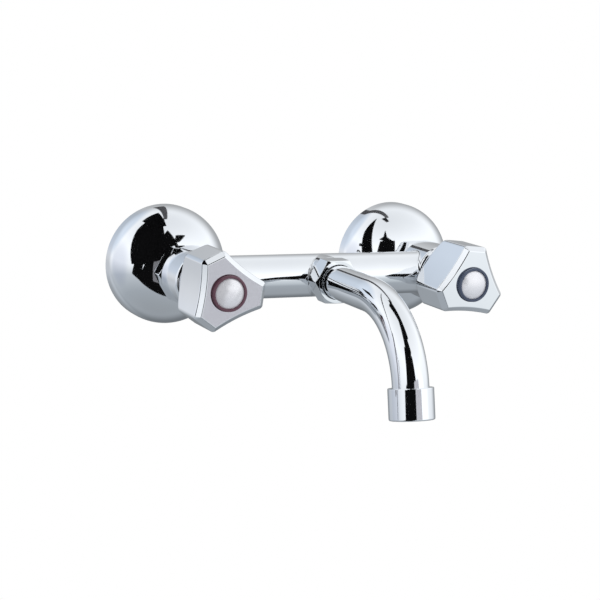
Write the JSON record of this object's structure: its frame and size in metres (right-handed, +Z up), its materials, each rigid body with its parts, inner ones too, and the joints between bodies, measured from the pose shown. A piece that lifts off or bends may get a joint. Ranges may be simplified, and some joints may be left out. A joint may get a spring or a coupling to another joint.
{
  "type": "wall-mounted basin mixer tap",
  "caption": "Chromed wall-mounted basin mixer: lobed hot and cold handles on screw-down valves, bent swivel spout with aerator, eccentric wall unions under domed flanges.",
  "frame": {"origin": "on the wall plane, midway between the two inlets, at the height of the mixer's own axis", "axes": "+X to the right and +Z up for someone who faces the wall; the tap stands out of the wall towards -Y"},
  "size_m": [0.219, 0.1969, 0.0927],
  "materials": {
    "chrome": "polished",
    "brass": "satin",
    "steel": "satin",
    "rubber": "matte",
    "fibre": "matte",
    "nylon": "satin",
    "hot_ring": "gloss",
    "cold_ring": "gloss",
    "index_cap": "gloss"
  },
  "bodies": {
    "mixer": {"left_headwork_body": "brass", "left_headwork_gasket": "fibre", "left_inlet_tail": "brass", "left_s_union": "brass", "left_union_nut": "chrome", "left_union_washer": "fibre", "left_wall_flange": "chrome", "mixer_body": "chrome", "right_headwork_body": "brass", "right_headwork_gasket": "fibre", "right_inlet_tail": "brass", "right_s_union": "brass", "right_union_nut": "chrome", "right_union_washer": "fibre", "right_wall_flange": "chrome", "spout_nut": "chrome"},
    "left_valve_handle": {"left_handle": "chrome", "left_handle_screw": "steel", "left_index_cap": "index_cap", "left_index_ring": "hot_ring", "left_spindle": "brass", "left_spindle_clip": "steel", "left_spindle_o_rings": "rubber"},
    "left_valve_piston": {"left_jumper": "brass", "left_jumper_screw": "brass", "left_jumper_washer": "rubber"},
    "right_valve_handle": {"right_handle": "chrome", "right_handle_screw": "steel", "right_index_cap": "index_cap", "right_index_ring": "cold_ring", "right_spindle": "brass", "right_spindle_clip": "steel", "right_spindle_o_rings": "rubber"},
    "right_valve_piston": {"right_jumper": "brass", "right_jumper_screw": "brass", "right_jumper_washer": "rubber"},
    "spout": {"aerator_housing": "chrome", "aerator_insert": "nylon", "aerator_washer": "rubber", "spout_end_bush": "chrome", "spout_o_rings": "rubber", "spout_retaining_ring": "nylon", "spout_tube": "chrome"}
  },
  "joints": [
    {"name": "left_handle_turn", "type": "hinge", "parent": "mixer", "child": "left_valve_handle", "pos_m": [-0.075, -0.08, 0], "axis": [0, -1, 0], "range_deg": [0, 720]},
    {"name": "left_jumper_travel", "type": "slide", "parent": "mixer", "child": "left_valve_piston", "axis": [0, -1, 0], "range_m": [0, 0.0042]},
    {"name": "right_handle_turn", "type": "hinge", "parent": "mixer", "child": "right_valve_handle", "pos_m": [0.075, -0.08, 0], "axis": [0, -1, 0], "range_deg": [0, 720]},
    {"name": "right_jumper_travel", "type": "slide", "parent": "mixer", "child": "right_valve_piston", "axis": [0, -1, 0], "range_m": [0, 0.0042]},
    {"name": "spout_swivel", "type": "hinge", "parent": "mixer", "child": "spout", "pos_m": [0, -0.07, 0], "axis": [0, -1, 0], "range_deg": [-60, 60]}
  ],
  "couplings": [
    {"joint": "left_jumper_travel", "follows": "left_handle_turn", "m_per_rad": 0.0003183},
    {"joint": "right_jumper_travel", "follows": "right_handle_turn", "m_per_rad": 0.0003183}
  ]
}
